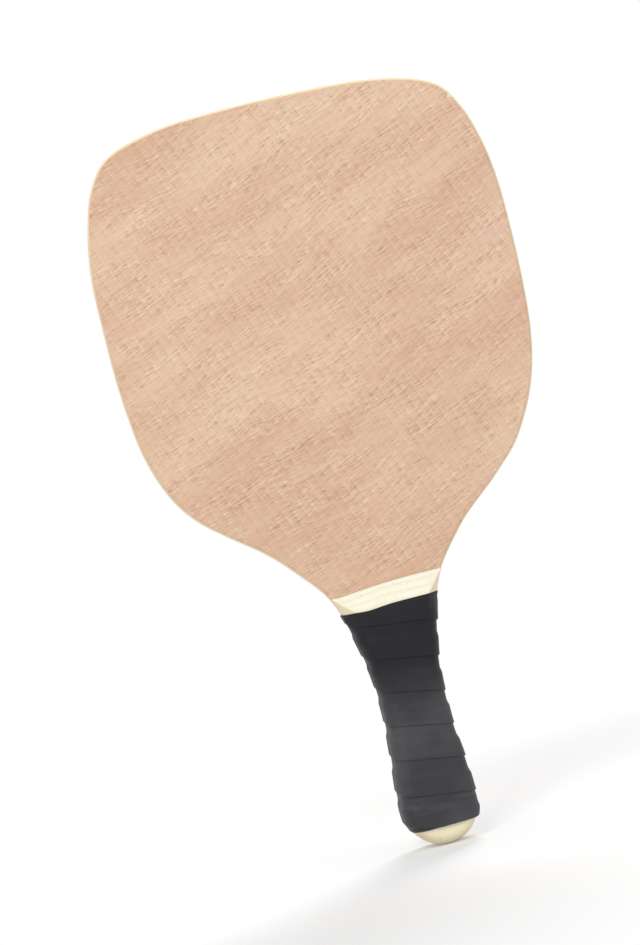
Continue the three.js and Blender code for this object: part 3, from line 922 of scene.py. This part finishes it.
def grip_tape():
    """The tape as one strip: each turn's lower edge climbs over the turn below and lies on it."""
    stops, start = turn_stops()
    turns_in_all = (tape_top - tape_bottom + TAPE_SOLID_WIDTH - 2 * TAPE_END_WIDTH) / TAPE_PITCH
    rounds = range(math.ceil(turns_in_all) + 1)
    path = np.concatenate([np.column_stack([stops[:, 0] + k - start, stops[:, 1:]]) for k in rounds])
    path = path[(path[:, 0] >= 0) & (path[:, 0] <= turns_in_all)]
    turns, hand, across, facing, angle = (path[:, i:i + 1] for i in range(5))

    way = np.column_stack([turns, turns * 0]) * WANDER_WAY_PER_TURN
    wander = ripple(way, WANDER_LENGTH, WANDER_SEED)[:, None]
    lowest_edge = tape_bottom + TAPE_END_WIDTH - TAPE_SOLID_WIDTH
    low_edge = lowest_edge + TAPE_PITCH * turns + TAPE_EDGE_WANDER * wander
    from_sag = (hand * half_width(tape_top, 0.0) - TAPE_TOP_SAG_PLACE) / TAPE_TOP_SAG_REACH
    bottom = tape_bottom + TAPE_BOTTOM_RISE + TAPE_BOTTOM_SLANT_SHARE * hand * half_width(tape_bottom, 0.0)
    top = tape_top + TAPE_TOP_RISE - TAPE_TOP_SAG * np.exp(-from_sag ** 2)
    lowest = np.maximum(low_edge, bottom)
    highest = np.minimum(low_edge + TAPE_WIDTH, top)
    widths = np.maximum(highest - lowest, TAPE_END_WIDTH / 2)
    station = tape_profile()[None, :] * widths
    height = lowest + station

    # Under a lap and over it the tape is squeezed a little, and its top end is pressed flat
    lift = smooth_step(turns, *TAPE_LIFT_TURNS)
    lap_end = TAPE_WIDTH - TAPE_PITCH + TAPE_LAP_MARGIN
    raised = lift * (1 - smooth_step(height - low_edge, lap_end, lap_end + TAPE_RAMP_WIDTH))
    lapped = smooth_step(height - low_edge, TAPE_PITCH - 2 * TAPE_LAP_MARGIN, TAPE_PITCH)
    last_turn = smooth_step(height, tape_top - TAPE_PITCH, tape_top - TAPE_PITCH + TAPE_LAP_MARGIN)
    pressed = TAPE_TOP_THINNING_SHARE * smooth_step(height, top - TAPE_TOP_THINNING_WIDTH, top)
    covered = lapped * (1 - last_turn)
    seat = TAPE_SEAT + raised * (TAPE_THICKNESS * (1 - TAPE_SQUEEZE_SHARE - pressed) + TAPE_LAP_GAP)
    thickness = TAPE_THICKNESS * (1 - TAPE_SQUEEZE_SHARE * np.maximum(raised, covered) - pressed)

    from_edge = np.minimum(station, widths - station)
    into_round = np.clip(TAPE_EDGE_RADIUS - from_edge, 0, TAPE_EDGE_RADIUS)
    worn = TAPE_EDGE_RADIUS - np.sqrt(TAPE_EDGE_RADIUS ** 2 - into_round ** 2)
    worn = np.minimum(worn, thickness - TAPE_LEAST_EDGE)

    in_share, out_share = rim_shape(height, angle)

    def placed(offset):
        x = hand * half_width(height, offset - (RIM_WIDTH + offset) * in_share)
        y = across * flat_depth + facing * (rim_depth + offset) * out_share
        return np.stack([x, -y, np.broadcast_to(height, x.shape)], axis=2)

    rest_points = placed(np.full_like(height, TAPE_THICKNESS))
    slanted = rest_points @ CREASE_TURN * CREASE_STRETCH
    flare = CREASE_LEAST_SHARE + (1 - CREASE_LEAST_SHARE) * smooth_step(height, *FLARE_HEIGHTS)
    crease = TAPE_CREASE * flare * ripple(slanted, CREASE_LENGTH, CREASE_SEED)
    wave = TAPE_RIPPLE * ripple(rest_points, WAVE_LENGTH, WAVE_SEED)
    swell = np.maximum(crease + wave, -TAPE_SEAT) * smooth_step(from_edge, 0, SWELL_MARGIN) * (1 - covered)
    inner = placed(seat)
    outer = placed(seat + thickness - worn + np.maximum(swell, -CREASE_DEEPEST))

    sections = np.concatenate([inner, outer[:, ::-1]], axis=1)
    count, around = sections.shape[:2]
    faces = ring_faces(count, around)
    faces.append(tuple(range(around))[::-1])
    faces.append(tuple(range((count - 1) * around, count * around)))
    points = sections.reshape(-1, 3)
    piece("wound_grip_tape", points, faces, tape_material(), "grip_tape", TAPE_SHARP_ANGLE)


# The plies' pale and tan wood, and each side with its veneer's grain angle in degrees and its patterns' shift
CORE_TONES = ((254, 240, 212), (246, 228, 194))
BAND_TONES = ((254, 234, 198), (246, 221, 180))
RACKET_SIDES = (("front", 22, 0.0), ("rear", -17, 0.31))


def dress_racket():
    """All the pieces of the racket. The core's fibres run up the racket and the cross-bands' across it."""
    half_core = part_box("core_ply")[1][1]
    band_low, band_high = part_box("rear_cross_band")[0][1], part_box("rear_cross_band")[1][1]
    core = ply_edge_material("core_edge", *CORE_TONES, NO_GLUE, half_core, end_grain_axis=2)
    band = ply_edge_material("band_edge", *BAND_TONES, band_low, band_high, end_grain_axis=0)
    ply("core_sheet", "core_ply", core)
    for side, angle, shift in RACKET_SIDES:
        ply(f"{side}_cross_sheet", f"{side}_cross_band", band)
        veneer = veneer_material(f"{side}_veneer", angle, shift)
        ply(f"{side}_veneer_sheet", f"{side}_face_veneer", veneer)
        wood = scale_material(f"{side}_scale_wood", shift)
        handle_scale(f"{side}_scale_block", f"{side}_handle_scale", wood)
    grip_tape()


# The racket's place in the photograph, in pixels of its 640 by 945 picture, and the camera's lens and angle
PICTURE = (640, 945)
TIP_PIXEL = (264.6, 99)
BUTT_PIXEL = (448, 842)
CAMERA_DISTANCE = 1.5
CAMERA_AZIMUTH = -8
SENSOR = 36


def place_camera():
    """A long lens square to the blade, turned so that the butt and the tip fall on their pixels."""
    length = cad_box[1][2] - cad_box[0][2]
    run = (TIP_PIXEL[0] - BUTT_PIXEL[0], BUTT_PIXEL[1] - TIP_PIXEL[1])
    pixels = math.hypot(*run)
    size = length / pixels
    lean = math.atan2(-run[0], run[1])
    azimuth = math.radians(CAMERA_AZIMUTH)
    back = Vector((math.sin(azimuth), -math.cos(azimuth), 0))
    level = Vector((math.cos(azimuth), math.sin(azimuth), 0))
    upright = Vector((0, 0, 1))
    right = level * math.cos(lean) - upright * math.sin(lean)
    up = level * math.sin(lean) + upright * math.cos(lean)
    middle = ((TIP_PIXEL[0] + BUTT_PIXEL[0]) / 2, (TIP_PIXEL[1] + BUTT_PIXEL[1]) / 2)
    aim = upright * length / 2
    aim += right * (PICTURE[0] / 2 - middle[0]) * size + up * (middle[1] - PICTURE[1] / 2) * size
    data = bpy.data.cameras.new("camera")
    data.sensor_width = SENSOR
    data.lens = SENSOR * CAMERA_DISTANCE / (PICTURE[1] * size)
    camera = bpy.data.objects.new("camera", data)
    bpy.context.scene.collection.objects.link(camera)
    placed = Matrix((right, up, back)).transposed().to_4x4()
    placed.translation = aim + back * CAMERA_DISTANCE
    camera.matrix_world = placed
    bpy.context.scene.camera = camera


def soft_lamp(name, place, size, power):
    """A round lamp that shines on the racket's middle."""
    data = bpy.data.lights.new(name, "AREA")
    data.shape = "DISK"
    data.size = size
    data.energy = power
    lamp = bpy.data.objects.new(name, data)
    lamp.location = place
    lamp.rotation_mode = "QUATERNION"
    lamp.rotation_quaternion = (Vector(LAMP_AIM) - Vector(place)).to_track_quat("-Z", "Y")
    bpy.context.scene.collection.objects.link(lamp)


WHITE = (1, 1, 1, 1)
ROOM_LEVEL = 0.62

# The lamps: where they stand, their size and their power
LAMP_AIM = (0, 0, 0.25)
LAMPS = {
    "key": ((-0.9, -1.7, 2.1), 1.1, 20),
    "low": ((-0.7, -1.5, 0.12), 0.9, 4.2),
    "fill": ((1.7, -1.5, 0.9), 1.2, 4),
    "rear": ((0.9, 1.7, 2.1), 1.2, 35),
}


def seen_directly(tree):
    """1 for camera, glossy and transmission rays, and 0 for the rest."""
    path = tree.nodes.new("ShaderNodeLightPath")
    total = None
    for ray in ("Is Camera Ray", "Is Glossy Ray", "Is Transmission Ray"):
        if total is None:
            total = path.outputs[ray]
            continue
        joined = tree.nodes.new("ShaderNodeMath")
        joined.operation = "MAXIMUM"
        tree.links.new(total, joined.inputs[0])
        tree.links.new(path.outputs[ray], joined.inputs[1])
        total = joined.outputs[0]
    return total


def light_room():
    """A white room that lights evenly at less than its seen level, and four soft lamps."""
    world = bpy.data.worlds.new("room")
    bpy.context.scene.world = world
    world.use_nodes = True
    tree = world.node_tree
    background = tree.nodes["Background"]
    background.inputs["Color"].default_value = WHITE
    strength = tree.nodes.new("ShaderNodeMapRange")
    strength.inputs["To Min"].default_value = ROOM_LEVEL
    strength.inputs["To Max"].default_value = 1
    tree.links.new(seen_directly(tree), strength.inputs["Value"])
    tree.links.new(strength.outputs["Result"], background.inputs["Strength"])
    for name, (place, size, power) in LAMPS.items():
        soft_lamp(name, place, size, power)


# The floor's size, its colours in the picture and for what it reflects on the racket, and where it turns white
FLOOR_RADIUS = 3
FLOOR_CORNERS = 128
FLOOR_COLOUR = (0.68, 0.68, 0.68, 1)
FLOOR_GLOW = 0.25
FLOOR_BOUNCE = (0.68, 0.68, 0.68, 1)
FADE_START = 0.35
FADE_END = 0.8


def white_floor():
    """A pale round floor under the butt that keeps the racket's shadow and turns plain white further out."""
    bpy.ops.mesh.primitive_circle_add(vertices=FLOOR_CORNERS, radius=FLOOR_RADIUS, fill_type="NGON",
                                      location=(0, 0, cad_box[0][2]))
    floor = bpy.context.object
    floor.name = "floor"
    material = bpy.data.materials.new("floor_white")
    material.use_nodes = True
    tree = material.node_tree
    tree.nodes.clear()

    def add(kind, **sockets):
        node = tree.nodes.new("ShaderNode" + kind)
        for socket, value in sockets.items():
            node.inputs[socket.replace("_", " ")].default_value = value
        return node

    def link(source, target):
        tree.links.new(source, target)

    diffuse = add("BsdfDiffuse", Color=FLOOR_COLOUR)
    bounce = add("BsdfDiffuse", Color=FLOOR_BOUNCE)
    glow = add("Emission", Color=WHITE, Strength=FLOOR_GLOW)
    plain = add("Emission", Color=WHITE, Strength=1)
    lit = add("AddShader")
    link(diffuse.outputs[0], lit.inputs[0])
    link(glow.outputs[0], lit.inputs[1])
    place = add("TexCoord")
    distance = add("VectorMath")
    distance.operation = "LENGTH"
    link(place.outputs["Object"], distance.inputs[0])
    fade = add("MapRange", From_Min=FADE_START, From_Max=FADE_END)
    fade.interpolation_type = "SMOOTHSTEP"
    link(distance.outputs["Value"], fade.inputs["Value"])
    seen = add("MixShader")
    link(fade.outputs["Result"], seen.inputs["Fac"])
    link(lit.outputs[0], seen.inputs[1])
    link(plain.outputs[0], seen.inputs[2])
    whole = add("MixShader")
    link(seen_directly(tree), whole.inputs["Fac"])
    link(bounce.outputs[0], whole.inputs[1])
    link(seen.outputs[0], whole.inputs[2])
    link(whole.outputs[0], add("OutputMaterial").inputs["Surface"])
    floor.data.materials.append(material)


place_camera()
light_room()
white_floor()
dress_racket()
bpy.context.scene.view_settings.view_transform = "Standard"

bpy.context.view_layer.update()
